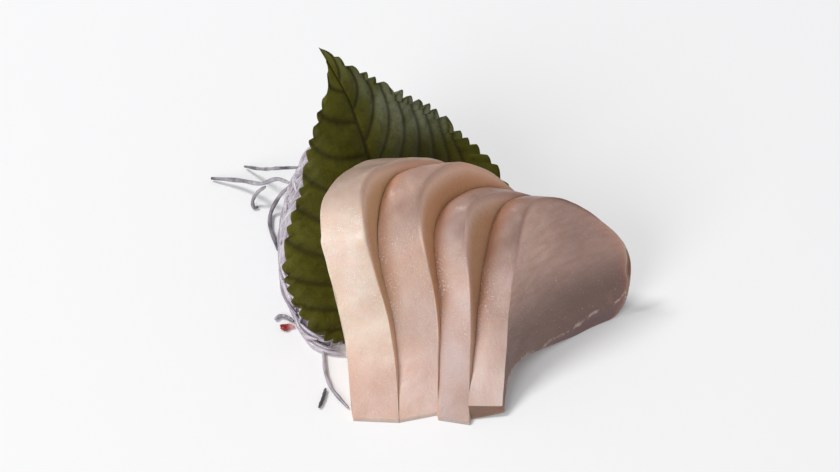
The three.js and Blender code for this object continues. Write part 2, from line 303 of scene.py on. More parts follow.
def fleshColours(tree, shape, place, facts, specks):
    # cream to pale in soft clouds, with a little blush
    cloud = noise(tree, place, fish["clouds"], 3, 0.55)
    colour = blendColours(tree, spread(tree, cloud, 0.35, 0.68), fish["cream"], fish["pale"])
    warm = noise(tree, place, fish["warmth"], 3, 0.55)
    colour = overlay(tree, colour, fish["blush"], spread(tree, warm, 0.45, 0.72), fish["blushAmount"])
    # darker where it curls over the top: its own mottled tone, with painted shade where the top turns away from
    # the light
    blotch = noise(tree, place, fish["blotches"], 3, 0.5)
    curl = times(tree, facts["top"], spread(tree, blotch, 0.30, 0.62, 0.66, 0.90), True)
    colour = overlay(tree, colour, fish["top"], curl)
    # another tone on the flap near the table, standing in for light: painted shade that darkens the flap of the
    # first three slices, and on the last slice a lift that takes the flap back out of that slice's painted shade
    flap = spread(tree, facts["rise"], shape["lowFrom"], 4)
    colour = overlay(tree, colour, tinted(tree, colour, shape["low"]), flap)
    if shape["kind"] != "first":
        # painted shade, orange-brown, in the valley against the slice before, where the ridge in front shades the
        # strip; wider and deeper towards the top
        deepest, widest = shape["valleyShade"]
        upper = facts["upper"]
        width = spread(tree, upper, 0.0, 1.0, 0.34 * widest, widest)
        valleyShade = spread(tree, maths(tree, "DIVIDE", facts["through"], width), 1.0, 0.0)
        valleyShade = times(tree, valleyShade, spread(tree, upper, 0.0, 1.0, 0.40 * deepest, deepest))
        colour = overlay(tree, colour, blendColours(tree, upper, fish["valleyShadeLow"], fish["valleyShade"]), valleyShade)
    if shape["kind"] == "last":
        # painted shade on the last slice's strip towards its rear, in the cut face's shade colour
        colour = overlay(tree, colour, fish["cutShade"], spread(tree, facts["run"], 30, 40))
    # painted glints on the strips
    colour = overlay(tree, colour, fish["speck"], specks, fish["glintAmount"])
    # painted shade: each later slice is tinted darker, standing in for the shade the ridge in front casts on it
    return tinted(tree, colour, shape["tint"])


def openCutColours(tree, section, facts, fibres):
    # the last slice's face, over its own fibre tone: painted light by the ridge, painted shade towards the table
    # and the rear
    run, rise = facts["run"], facts["rise"]
    colour = blendColours(tree, spread(tree, fibres, 0.25, 0.78), fish["cutFace"], fish["cutPale"])
    # painted light near the ridge
    nearRidge = times(tree, spread(tree, run, 27, 14), spread(tree, rise, 20, 30))
    colour = overlay(tree, colour, fish["cutPale"], nearRidge)
    # painted shade away from the ridge, strongest low down
    away = maths(tree, "ADD", spread(tree, run, 16, 42, 0.0, 0.10), spread(tree, rise, 25, 7, 0.0, 0.86), True)
    colour = overlay(tree, colour, fish["cutShade"], away)
    # more painted shade high up at the rear, where the face still caught too much light
    farTop = times(tree, spread(tree, run, 24, 36), spread(tree, rise, 15, 23))
    colour = overlay(tree, colour, fish["cutShade"], farTop, 0.44)
    # pale specks in the membrane's colour, painted glints on the face
    dots = spread(tree, noise(tree, section, 18, 2, 0.5), 0.66, 0.72)
    colour = overlay(tree, colour, fish["membrane"], dots, 0.40)
    stain = spread(tree, noise(tree, section, 1.3, 3, 0.55), 0.58, 0.74)
    colour = overlay(tree, colour, fish["stain"], times(tree, stain, spread(tree, run, 22, 40)), 0.30)
    # painted shade on the front end face of the flap, which faces down and away from the light
    frontEnd = times(tree, spread(tree, rise, 4.5, 2.5), spread(tree, run, 3.0, 0.8))
    return overlay(tree, colour, fish["endShade"], frontEnd)


def innerCutColours(tree, kind, facts, fibres):
    # between two slices only a warm band of the face is seen; painted warm shade deepens it towards the valley
    # and lies lightly over it below the top
    deep = spread(tree, facts["outerDepth"], 0.2, 5.5, 0.10, 1.0)
    steep = spread(tree, facts["rise"], 37, 27)
    innerShadeColour = blendColours(tree, facts["upper"], fish["innerShadeLow"], fish["innerShade"])
    deep = maths(tree, "MAXIMUM", deep, times(tree, steep, 0.35))
    colour = overlay(tree, fish["innerFace"], innerShadeColour, deep)
    if kind == "first":
        # its open -X face is a plain pale cut
        openFace = blendColours(tree, spread(tree, fibres, 0.25, 0.78), fish["openFace"], fish["innerFace"])
        colour = overlay(tree, colour, openFace, spread(tree, facts["through"], 0.6, 0.4))
    return colour


def skinColours(tree, colour, section, facts):
    # a ragged mauve layer under a thin, broken, bright membrane, wider towards the rear
    ragged = times(tree, maths(tree, "SUBTRACT", noise(tree, section, 2.6, 4, 0.6), 0.5), 2.6)
    edge = maths(tree, "ADD", facts["skinDepth"], ragged)
    inside = maths(tree, "SUBTRACT", spread(tree, facts["run"], 14, 42, 0.3, 3.4), edge)
    colour = overlay(tree, colour, fish["skinMauve"], spread(tree, inside, -0.5, 1.1), fish["mauveAmount"])
    line = times(tree, spread(tree, inside, -0.55, 0.0), spread(tree, inside, 0.65, 0.05))
    breaks = spread(tree, noise(tree, section, 4.0, 3, 0.6), 0.42, 0.6)
    return overlay(tree, colour, fish["membrane"], times(tree, line, breaks), fish["membraneAmount"])


def fishMaterial(name, shape):
    material, tree, shader = newMaterial(name)
    place, section = objectPlace(tree), uvPlace(tree, "section")
    facts = {key: value(tree, key) for key in sliceFacts}
    specks = wetGlintSpecks(tree, place, facts)
    # faint fibres drawn out along the muscle
    fibres = noise(tree, mapped(tree, section, (1.0, 3.2, 1.0), (0, 0, -48)), 2.4, 3, 0.5, 0.4)
    if shape["kind"] == "last":
        cut = openCutColours(tree, section, facts, fibres)
    else:
        cut = innerCutColours(tree, shape["kind"], facts, fibres)
    onCut = maths(tree, "SUBTRACT", 1.0, facts["fleshSide"])
    flesh = fleshColours(tree, shape, place, facts, specks)
    # the cut face takes the slice's painted shade tint too
    colour = overlay(tree, flesh, tinted(tree, cut, shape["face"]), onCut)
    link(tree, skinColours(tree, colour, section, facts), shader.inputs["Base Color"])
    # tiny pits and beads catch the light, and the wet specks are glossier
    gloss = noise(tree, place, fish["gloss"], 3, 0.6)
    rough = spread(tree, gloss, 0.3, 0.75, fish["roughness"] - 0.10, fish["roughness"] + 0.18)
    link(tree, maths(tree, "SUBTRACT", rough, times(tree, specks, 0.15)), shader.inputs["Roughness"])
    bump(tree, shader, [
        (noise(tree, place, fish["pits"], 4, 0.6), 0.00040, 0.42),
        (noise(tree, place, fish["beads"], 3, 0.65), 0.00022, 0.42),
        (specks, 0.00020, 0.60),
        (times(tree, fibres, onCut), 0.0003, 0.10),
    ])
    setSockets(shader, fish["shader"])
    return material


# what each point of a slice knows about its place in it
sliceFacts = ("run", "rise", "skinDepth", "outerDepth", "fleshSide", "top", "through", "upper")

rearFirst = [(47.5, 28.5), (50, 21.5), (50.5, 14.5), (48.5, 8)]
rearSecond = [(46.5, 23.5), (48, 17.5), (48, 12), (46.5, 7)]
rearThird = [(46, 22), (48, 16), (48.2, 11), (46.5, 6.5)]
rearFourth = [(46.3, 18.4), (47.3, 13), (45.8, 7.5)]
flatSkin = [(1.6, 0), (6, 0.9), (12, 1.4), (18, 0.9), (24, 0), (31, 0), (38, 0), (43.5, 1.6)]
liftedSkin = [(4.8, 4.3), (9, 5.3), (13.5, 4.4), (19, 2.6), (25, 0.9), (30, 0), (35, 0), (39.5, 0), (43.2, 2.4)]

# each outline runs from the thin front end over the top to the rear, as (distance back, height) in mm;
# "tip" is the front end as (distance back, underside, upper side); the valley entry is the depth and the width of
# the painted valley shade
# tint and face darken the later slices with painted shade from the ridge in front; low is the flap's painted tone
# near the table
sliceShapes = [
    {"tip": {"left": (-0.9, 0, 0.9), "right": (-0.9, 0, 0.9)},
     "left": [(4.8, 4.8), (8.8, 9.4), (10.2, 15.8), (11.1, 25), (12, 33.4), (13.4, 36.8), (15.8, 38.8),
              (19, 39.6), (24, 39.5), (32, 38.4), (38.5, 36.4), (44, 33.2)] + rearFirst,
     "right": [(4.0, 4.6), (7.6, 10), (9.6, 17.8), (9.5, 25.4), (9.4, 33.8), (10.2, 38.8), (12.3, 43),
               (14.8, 45.4), (18, 45.9), (23, 44.6), (29, 42.2), (35, 39.4), (40.8, 35.8), (45, 30), (48, 23),
               (49, 16), (47.5, 9)],
     "skin": {"left": flatSkin, "right": flatSkin},
     "tint": (0.97, 0.945, 0.925), "low": (0.80, 0.70, 0.71), "lowFrom": 15, "face": (1.0, 1.0, 1.0),
     "topFrom": (0.37, 0.47), "foldAt": (34.0, 36.8), "kind": "first"},
    {"tip": {"left": (-0.8, 0, 0.9), "right": (-0.4, 0, 0.8)},
     "left": [(4.2, 4.2), (8.3, 9.1), (10.8, 14.2), (11.1, 20), (11.4, 25.8), (12.8, 31.2), (14.6, 35),
              (17.3, 37.9), (20.8, 40.1), (24.6, 41.1), (28.5, 40.5), (33.5, 37.8), (39, 32.2), (44, 26.5),
              (47, 20), (48, 14), (46.8, 8)],
     "right": [(3.4, 3.8), (7, 6.9), (10.4, 10.8), (12.5, 15.4), (13.7, 21), (14.2, 28.4), (14.7, 33.4),
               (16, 37), (18.4, 40.1), (22, 41.1), (27.4, 40.7), (32.4, 39.5), (36.4, 36.8), (40, 33.4),
               (43.4, 28.6)] + rearSecond,
     "skin": {"left": flatSkin, "right": flatSkin},
     "tint": (0.99, 0.87, 0.86), "low": (0.84, 0.82, 0.83), "lowFrom": 25, "face": (0.97, 0.92, 0.92),
     "topFrom": (0.34, 0.45), "valleyShade": (0.90, 0.52), "kind": "middle"},
    {"tip": {"left": (-1.9, 0, 1.0), "right": (-2.2, 0, 1.0)},
     "left": [(4, 4.4), (8.8, 9), (12.8, 14.2), (15.3, 22), (17.2, 28.2), (19.6, 31.8), (23.6, 33.6),
              (29.5, 33.6), (36.2, 31.8), (42.4, 27.6)] + rearThird,
     "right": [(2.4, 5), (7.6, 10.4), (11.8, 16.8), (14.6, 24.2), (16.5, 30.4), (19, 35), (21.8, 36.9),
               (25, 36.3), (29.4, 34.9), (34, 32.8), (40, 28.8), (44, 23.8), (46.3, 17.6), (46.8, 12), (45.4, 7)],
     "skin": {"left": flatSkin, "right": flatSkin},
     "tint": (0.76, 0.67, 0.685), "low": (0.78, 0.80, 0.83), "lowFrom": 27, "face": (0.80, 0.78, 0.82),
     "topFrom": (0.33, 0.44), "valleyShade": (0.90, 0.60), "kind": "middle"},
    {"tip": {"left": (-0.5, 0, 3.5), "right": (-0.1, 0.9, 2.5)},
     "left": [(6.6, 8.1), (9.8, 10.9), (12.2, 14), (15.8, 18.6), (20.4, 24.8), (25, 29.8), (29, 32.4),
              (33, 32.6), (38, 30), (43, 24.8), (46.8, 18.5), (47.8, 13), (46.3, 8)],
     "right": [(6.2, 8.4), (8, 10.8), (11.3, 15.4), (14.7, 20.5), (18.4, 25.4), (22, 30.3), (25, 33.8),
               (28.2, 34.6), (32, 33.4), (37.5, 29.8), (42.3, 24.6)] + rearFourth,
     "skin": {"left": flatSkin, "right": liftedSkin},
     "tint": (0.61, 0.52, 0.53), "low": (1.38, 1.58, 1.68), "lowFrom": 15, "face": (1.0, 1.0, 1.0),
     "topFrom": (0.30, 0.42), "valleyShade": (0.95, 0.98), "kind": "last"},
]

sliceCage = {
    "stations": [0, 0.006, 0.018, 0.04] + [0.068 + 0.0228 * i for i in range(39)] + [0.955, 0.975, 0.99, 1],
    "ribs": [0, 0.035, 0.14, 0.3, 0.5, 0.7, 0.86, 0.965, 1],
    "layers": [0, 0.012, 0.10, 0.26, 0.45, 0.63, 0.79, 0.93, 1],
    "ridgeCrisp": 0.035,
    "ridgeSoft": 0.17,
    "smoothing": 2,
    "valleyDip": 0.9,
    "crown": 0.35,
    "uneven": 0.20, "unevenSize": 13.0,
    "ripple": 0.05, "rippleSize": 4.5,
    "sink": 0.12,
    "foldLip": 0.26, "foldFade": 5.0,
}


def smoothStep(value, low, high):
    t = np.clip((np.asarray(value, float) - low) / (high - low), 0, 1)
    return t * t * (3 - 2 * t)


def sliceMesh(shape, leftCut, rightCut):
    stations = np.array(sliceCage["stations"])
    ribs, layers = sliceCage["ribs"], sliceCage["layers"]
    outer, inner, outward = {}, {}, {}
    for side in ("left", "right"):
        run, low, high = shape["tip"][side]
        outer[side] = smoothPath([(run, high)] + shape[side], stations)
        inner[side] = smoothPath([(run, low)] + shape["skin"][side] + [shape[side][-1]], stations)
        outer[side][:, 1] = np.maximum(0, outer[side][:, 1])
        inner[side][:, 1] = np.maximum(0, inner[side][:, 1])
        way = np.gradient(outer[side], axis=0)
        way /= np.linalg.norm(way, axis=1)[:, None]
        outward[side] = np.stack([-way[:, 1], way[:, 0]], -1)
    points, info, index = [], [], {}
    last = len(stations) - 1
    half = fan["gap"] / 2
    for a, layer in enumerate(layers):
        for b in range(len(stations)):
            # the ridge is crisp low down and rounder towards the top
            rounder = float(smoothStep(stations[b], 0.10, 0.34))
            soft = sliceCage["ridgeCrisp"] + (sliceCage["ridgeSoft"] - sliceCage["ridgeCrisp"]) * rounder
            through = layer
            if a < len(layers) - 1:
                through = 1 - soft if a == len(layers) - 2 else layer * (1 - soft * 0.5)
            swell = float(smoothStep(stations[b], 0.0, 0.10) * smoothStep(stations[b], 0.80, 0.55))
            dip = 0.0 if shape["kind"] == "first" else sliceCage["valleyDip"] * math.exp(-through / 0.20)
            lift = swell * (sliceCage["crown"] * math.sin(math.pi * through) - dip)
            for c, rib in enumerate(ribs):
                shared = b == last
                key = (a, b, 0 if shared else c)
                hidden = 0 < a < len(layers) - 1 and 0 < c < len(ribs) - 1 and b > 0
                if key in index or hidden:
                    continue
                ends = []
                for side, cut, offset in (("left", leftCut, half), ("right", rightCut, -half)):
                    here = outer[side][b] * (1 - rib) + inner[side][b] * rib
                    run, rise = here + outward[side][b] * lift * (1 - rib) ** 2
                    ends.append((cutPoints(cut, run, rise, offset), run, rise))
                width = np.linalg.norm(outer["right"][b] - inner["right"][b])
                index[key] = len(points)
                where, run, rise = (left * (1 - through) + right * through for left, right in zip(*ends))
                points.append(where)
                # the skin band closes before the rear end
                skinDepth = width * (1 - rib) + 6 * float(smoothStep(stations[b], 0.88, 0.97))
                info.append((run, rise, skinDepth, width * rib, rib, stations[b], through))

    def at(a, b, c):
        return index[(a, b, 0 if b == last else c)]

    faces = []

    def quad(*corners):
        loop = [v for i, v in enumerate(corners) if v != corners[i - 1]]
        if len(loop) > 2:
            faces.append(loop)

    endLayer, endRib = len(layers) - 1, len(ribs) - 1
    for b in range(last):
        for c in range(endRib):
            quad(at(0, b, c), at(0, b + 1, c), at(0, b + 1, c + 1), at(0, b, c + 1))
            quad(at(endLayer, b, c), at(endLayer, b, c + 1),
                 at(endLayer, b + 1, c + 1), at(endLayer, b + 1, c))
        for a in range(endLayer):
            quad(at(a, b, 0), at(a + 1, b, 0), at(a + 1, b + 1, 0), at(a, b + 1, 0))
            quad(at(a, b, endRib), at(a, b + 1, endRib), at(a + 1, b + 1, endRib), at(a + 1, b, endRib))
    for a in range(endLayer):
        for c in range(endRib):
            quad(at(a, 0, c), at(a, 0, c + 1), at(a + 1, 0, c + 1), at(a + 1, 0, c))
    return np.array(points), faces, np.array(info)


def makeSlice(number, shape, shift):
    points, faces, info = sliceMesh(shape, fan["cuts"][number], fan["cuts"][number + 1])
    run, rise, skinDepth, outerDepth, rib, station, through = info.T
    piece = newObject(f"fish_slice_{number + 1}", points, faces, None, shift)
    flesh = np.clip(1 - rib / 0.035, 0, 1)
    if shape["kind"] != "last":
        flesh = np.where(station == 0, 1.0, flesh)        # the thin end's edge is flesh too
    facts = (run, rise, skinDepth, outerDepth, flesh * (station < 0.985),
             smoothStep(station, *shape["topFrom"]), through, smoothStep(station, 0.11, 0.31))
    for name, values in zip(sliceFacts, facts):
        addValues(piece, name, values)
    smoother = piece.modifiers.new("round", "SUBSURF")
    smoother.levels = smoother.render_levels = sliceCage["smoothing"]
    freeze(piece)
    mesh = piece.data
    count = len(mesh.vertices)
    where = np.empty(count * 3)
    mesh.vertices.foreach_get("co", where)
    where = where.reshape(-1, 3)
    normals = np.array([v.normal[:] for v in mesh.vertices])
    facts = {}
    for name in ("run", "rise", "through", "fleshSide"):
        facts[name] = np.empty(count, np.float32)
        mesh.attributes[name].data.foreach_get("value", facts[name])
    run, rise, through, flesh = facts.values()
    lift = waves(where / mm, 11 + number, sliceCage["unevenSize"]) * sliceCage["uneven"] - sliceCage["sink"]
    lift += waves(where / mm, 31 + number, sliceCage["rippleSize"]) * sliceCage["ripple"]
    if "foldAt" in shape:
        # a shallow crease across the strip, with a lip under it
        low, high = shape["foldAt"]
        below = low + (high - low) * through - rise
        fade = np.exp(-np.maximum(below, 0) / sliceCage["foldFade"])
        lip = smoothStep(below, -0.5, 0.5) * fade * (run < 22)
        lift += sliceCage["foldLip"] * lip * flesh
    # the faces between two slices stay plane, so the slices lie tight against each other
    exposed = np.maximum(flesh, smoothStep(through, 0.9, 1.0) if shape["kind"] == "last" else 0)
    lift *= exposed * np.clip((where[:, 2] / mm) / 2.0, 0, 1)          # the resting edge stays flat too
    where += normals * lift[:, None] * mm
    where[:, 2] = np.maximum(where[:, 2], 0)
    mesh.vertices.foreach_set("co", where.ravel())
    addUv(mesh, "section", np.stack([run, rise], -1) / 10)
    mesh.materials.append(fishMaterial(f"fishFlesh{number + 1}", shape))
    for poly in mesh.polygons:
        poly.use_smooth = True
    mesh.update()
    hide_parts(f"slice_{number + 1}")
    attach(piece, "root")
    return piece


def rowShift():
    # the fan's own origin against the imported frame, from the last slice's far corner
    shape = sliceShapes[3]
    walls = []
    for cut, side, offset in ((fan["cuts"][3], "left", 0.15), (fan["cuts"][4], "right", -0.15)):
        path = smoothPath([(0.2, 4.0)] + shape[side], 27)
        walls.append(cutPoints(cut, path[:, 0], path[:, 1], offset))
    far = np.vstack(walls).max(0)
    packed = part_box("slice_4")[1]
    return np.array([packed[0] - far[0] * mm, packed[1] - far[1] * mm, 0.0])


shift = rowShift()
print("shift from the fan to the frame, mm", (shift / mm).round(2).tolist())
for number, shape in enumerate(sliceShapes):
    makeSlice(number, shape, shift)
print("slices done")

# perilla leaf
leafShape = {
    "lean": 0.72, "foot": 16.4, "wrap": 30.0, "wrapAt": -6.0, "wrapSoft": 6.0, "thick": 0.45,
    "teethLeft": 26, "teethRight": 27, "toothLeft": 1.25, "toothRight": 1.5,
    "rows": 520, "cells": 40, "veinPairs": 8, "quilt": 0.34, "groove": 0.26,
    "sweepLeft": 0.50, "sweepRight": 0.95,
    "rib": [(-6, 4), (-8, 14), (-10.8, 28), (-13.9, 43.4), (-16.4, 51.8), (-19.4, 60.4), (-24.7, 70.1)],
    "left": [(-6, 4), (-13, 2.4), (-20, 2.8), (-27, 8), (-31.2, 15), (-32.8, 24), (-31.4, 31.5), (-29, 38.5),
             (-27.6, 46), (-25.4, 54), (-22.8, 61.6), (-22.6, 63.4), (-23.0, 67.2), (-24.7, 70.1)],
    "right": [(-6, 4), (6, 2.5), (14.6, 6), (18.8, 13.4), (17.2, 21.4), (9.2, 31), (1.8, 40.7), (-5.2, 50),
              (-12.8, 59.6), (-16.6, 63.8), (-18.8, 65.6), (-21.2, 67.8), (-24.7, 70.1)],
}
leafColours = {
    "blade": (0.051, 0.048, 0.0015),
    "bladeLight": (0.098, 0.096, 0.008),
    "paintedSheen": (0.24, 0.26, 0.155),
    "vein": (0.022, 0.019, 0.0015),
    "edge": (0.10, 0.085, 0.020),
    "back": (0.11, 0.14, 0.06),
    "shader": {"Subsurface Weight": 0.05, "Subsurface Radius": (0.5, 0.6, 0.1), "Subsurface Scale": 0.001,
               "Specular IOR Level": 0.16},
}


def footLine(x):
    far = (x - leafShape["wrapAt"]) / leafShape["wrapSoft"]
    return leafShape["foot"] + leafShape["wrap"] / (1 + np.exp(-far))


def footSlope(x):
    s = 1 / (1 + np.exp(-(x - leafShape["wrapAt"]) / leafShape["wrapSoft"]))
    return leafShape["wrap"] * s * (1 - s) / leafShape["wrapSoft"]


def leafWave(x, rise):
    return 0.45 * np.sin(x * 0.33 + rise * 0.16) + 0.3 * np.sin(rise * 0.42 - x * 0.12)


def leafPoint(x, along, back):
    lean = leafShape["lean"]
    rise = along / math.hypot(1, lean)
    slope = footSlope(x)
    size = np.sqrt(slope ** 2 + 1 + lean ** 2)
    y = footLine(x) + lean * rise + leafWave(x, rise)
    return np.stack([x - back * slope / size, y + back / size, rise - back * lean / size], -1)


def toothedMargin(points, sign, count, depth, seed):
    rows = leafShape["rows"]
    edge = smoothPath(points, rows + 1)
    t = np.linspace(0, 1, rows + 1)
    # uneven spacing, rounded teeth leaning to the tip
    warp = t * count + 0.22 * np.sin(t * 31 + seed) + 0.14 * np.sin(t * 57 + 2 * seed)
    phase = warp % 1
    which = np.floor(warp)
    size = 0.86 + 0.24 * np.sin(which * 2.4 + seed)
    fade = np.minimum(1, np.minimum(t * 5, (1 - t) * 10))
    climb = np.sin(np.minimum(phase / 0.78, 1) * math.pi / 2) ** 0.9
    saw = np.where(phase < 0.78, climb, ((1 - phase) / 0.22) ** 0.7)
    lift = depth * size * fade * (saw - 0.68)
    way = np.gradient(edge, axis=0)
    way /= np.linalg.norm(way, axis=1)[:, None]
    out = np.stack([-way[:, 1], way[:, 0]], -1) * sign
    toothed = edge + out * lift[:, None]
    toothed[:, 1] = np.maximum(toothed[:, 1], 1.6)
    return edge, toothed - edge


def veinDistance(t, u):
    # distance in mm from the nearest side vein; each leaves the midrib and sweeps to the tip
    near = np.full(t.shape, 99.0)
    pairs = leafShape["veinPairs"]
    for side, sweep in ((-1, leafShape["sweepLeft"]), (1, leafShape["sweepRight"])):
        for k in range(pairs + 2):
            start = -0.16 + 0.98 * (k + (0.35 if side > 0 else 0.0)) / pairs
            reach = start + (sweep * (1 - start) * 0.62 + 0.05) * np.abs(u) ** 0.92
            here = np.where(u * side >= 0, np.abs(t - reach), 99.0)
            near = np.minimum(near, here * 70 * 0.62)
            fork = reach + 0.055 * (np.abs(u) - 0.52)
            outer = (u * side >= 0) & (np.abs(u) > 0.52)
            near = np.minimum(near, np.where(outer, np.abs(t - fork) * 70 * 0.62 + 0.5, 99.0))
    return near


def makeLeaf(shift):
    rows, cells = leafShape["rows"], leafShape["cells"]
    rib = smoothPath(leafShape["rib"], rows + 1)
    shape = leafShape
    left, leftTeeth = toothedMargin(shape["left"], 1, shape["teethLeft"], shape["toothLeft"], 1)
    right, rightTeeth = toothedMargin(shape["right"], -1, shape["teethRight"], shape["toothRight"], 4)
    u = np.linspace(-1, 1, 2 * cells + 1)
    u = np.sign(u) * np.abs(u) ** 0.9
    t = np.linspace(0, 1, rows + 1)
    along, across = np.meshgrid(t, u, indexing="ij")
    edge = np.where((across < 0)[..., None], left[:, None, :], right[:, None, :])
    teeth = np.where((across < 0)[..., None], leftTeeth[:, None, :], rightTeeth[:, None, :])
    outer = np.abs(across)[..., None]
    # the teeth stay at the margin, so the veins run smoothly up to them
    flat = rib[:, None, :] * (1 - outer) + edge * outer + teeth * np.clip((outer - 0.82) / 0.18, 0, 1)
    side = veinDistance(along, across)
    mid = np.linalg.norm(flat - rib[:, None, :], axis=-1)
    taper = np.clip((1 - along) * 1.4, 0.25, 1)
    lateral = np.exp(-(side / 0.42) ** 2) * 0.9
    central = np.exp(-(mid / (0.6 * taper)) ** 2)
    rim = np.clip((1 - np.abs(across)) / 0.12, 0, 1)
    swell = leafShape["quilt"] * (1 - np.exp(-(side / 1.5) ** 2)) * (1 - np.exp(-(mid / 2.2) ** 2)) * rim
    curl = 0.9 * np.clip((across - 0.72) / 0.28, 0, 1) ** 2
    curl = curl * np.clip((along - 0.45) / 0.2, 0, 1) * np.clip((1 - along) / 0.12, 0, 1)
    # the margin ruffles a little from tooth to tooth
    ruffle = 0.12 * np.clip((np.abs(across) - 0.7) / 0.3, 0, 1) * np.sin(along * 150)
    curl += ruffle * np.clip((1 - along) / 0.1, 0, 1)
    height = swell - leafShape["groove"] * np.maximum(lateral, central * 1.6) + curl
    points, faces, grid = [], [], []
    facts = {"vein": [], "rim": [], "front": [], "u": [], "t": []}
    for layer, back in enumerate((0.0, leafShape["thick"])):
        depth = back * np.clip(rim * 1.5 + 0.25, 0.25, 1)
        where = leafPoint(flat[..., 0], flat[..., 1], depth + 0.08 - height)
        ids = np.zeros(along.shape, int)
        for i in range(rows + 1):
            for c in range(2 * cells + 1):
                if i in (0, rows) and c > 0:
                    ids[i, c] = ids[i, 0]
                    continue
                if layer == 1 and c in (0, 2 * cells):
                    ids[i, c] = grid[0][i, c]      # the two faces meet in a sharp margin
                    continue
                if layer == 1 and i in (0, rows):
                    ids[i, c] = grid[0][i, 0]
                    continue
                ids[i, c] = len(points)
                points.append(where[i, c])
                facts["vein"].append(max(lateral[i, c], central[i, c]))
                facts["rim"].append(rim[i, c])
                facts["front"].append(1.0 - layer)
                facts["u"].append(across[i, c])
                facts["t"].append(along[i, c])
        if layer == 1:
            ids[0, :] = grid[0][0, 0]
            ids[rows, :] = grid[0][rows, 0]
        grid.append(ids)
    for i in range(rows):
        for c in range(2 * cells):
            for ids, turn in ((grid[0], 1), (grid[1], -1)):
                loop = [ids[i, c], ids[i, c + 1], ids[i + 1, c + 1], ids[i + 1, c]][::turn]
                loop = [v for k, v in enumerate(loop) if v != loop[k - 1]]
                if len(loop) > 2:
                    faces.append(loop)
    points = np.array(points)
    points[:, 2] = np.maximum(points[:, 2], 0.3)
    piece = newObject("perilla_leaf", points, faces, leafMaterial(), shift)
    for name, values in facts.items():
        addValues(piece, name, values)
    addUv(piece.data, "blade", np.stack([np.array(facts["u"]) * 2.6, np.array(facts["t"]) * 7.0], -1))
    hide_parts("leaf")
    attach(piece, "root")
    return piece


def leafMaterial():
    material, tree, shader = newMaterial("perillaBlade")
    place, blade = objectPlace(tree), uvPlace(tree, "blade")
    vein, rim, front, across, along = (value(tree, name) for name in ("vein", "rim", "front", "u", "t"))
    soft = noise(tree, place, 60, 3, 0.55)
    colour = blendColours(tree, spread(tree, soft, 0.36, 0.66), leafColours["blade"], leafColours["bladeLight"])
    # a painted sheen on the upper far side, standing in for soft light reflected there
    far = times(tree, spread(tree, across, 0.05, 0.75), spread(tree, along, 0.48, 0.64), True)
    far = times(tree, far, spread(tree, along, 0.88, 0.72, 0.35, 1.0))
    patch = times(tree, far, spread(tree, noise(tree, place, 150, 3, 0.6), 0.32, 0.62, 0.35, 1.0), True)
    colour = overlay(tree, colour, leafColours["paintedSheen"], patch, 0.95)
    # light specks and dark mottling
    speck = noise(tree, place, 800, 3, 0.6)
    colour = overlay(tree, colour, leafColours["bladeLight"], spread(tree, speck, 0.52, 0.72), 0.45)
    shade = noise(tree, place, 420, 3, 0.6)
    colour = overlay(tree, colour, leafColours["vein"], spread(tree, shade, 0.50, 0.70), 0.35)
    # the fine net between the veins, then the veins and the margin
    net = tree.nodes.new("ShaderNodeTexVoronoi")
    net.feature = "DISTANCE_TO_EDGE"
    net.inputs["Scale"].default_value = 11.0
    link(tree, blade, net.inputs["Vector"])
    mesh = spread(tree, net.outputs["Distance"], 0.0, 0.12, 1.0, 0.0)
    colour = overlay(tree, colour, leafColours["vein"], mesh, 0.14)
    colour = overlay(tree, colour, leafColours["vein"], vein, 0.85)
    colour = overlay(tree, colour, leafColours["edge"], spread(tree, rim, 0.22, 0.0, 0.0, 0.40))
    colour = overlay(tree, colour, leafColours["edge"], spread(tree, along, 0.93, 1.0), 0.5)
    colour = overlay(tree, colour, leafColours["back"], maths(tree, "SUBTRACT", 1.0, front), 0.8)
    link(tree, colour, shader.inputs["Base Color"])
    link(tree, spread(tree, soft, 0.3, 0.7, 0.46, 0.60), shader.inputs["Roughness"])
    grain = noise(tree, place, 900, 4, 0.6)
    bump(tree, shader, [(mesh, 0.0003, -0.30), (shade, 0.0006, 0.35), (grain, 0.00025, 0.30)])
    setSockets(shader, leafColours["shader"])
    return material


makeLeaf(shift)
print("leaf done")

